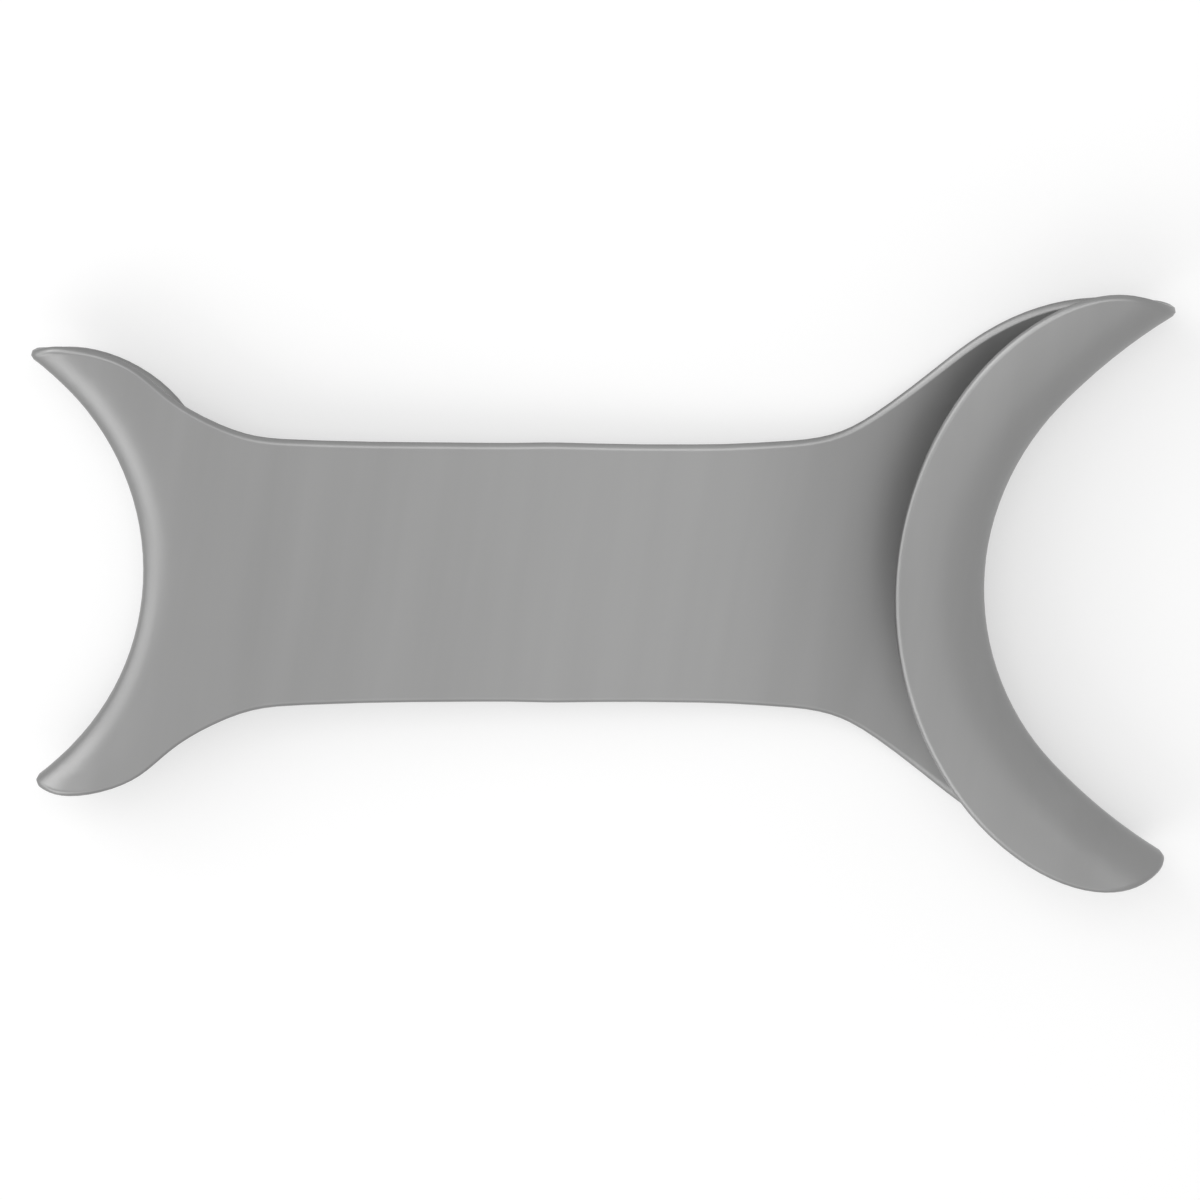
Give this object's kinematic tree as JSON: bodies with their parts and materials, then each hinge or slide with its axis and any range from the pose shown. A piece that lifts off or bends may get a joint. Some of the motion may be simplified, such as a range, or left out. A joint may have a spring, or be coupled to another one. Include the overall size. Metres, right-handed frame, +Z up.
{
  "type": "cheek retractor",
  "caption": "Hand-held retractor cut and pressed from one steel sheet: a flat handle that flares into a crescent hook at each end, the larger hook turned to the front, the smaller to the back.",
  "frame": {"origin": "centre of the bounding box's base, on the surface the retractor lies on", "axes": "+X along the handle towards the larger hook, +Y across the handle, +Z up from the surface it lies on"},
  "size_m": [0.114, 0.061, 0.0119],
  "materials": {
    "steel": "satin"
  },
  "bodies": {
    "root": {"retractor_body": "steel"}
  },
  "joints": []
}
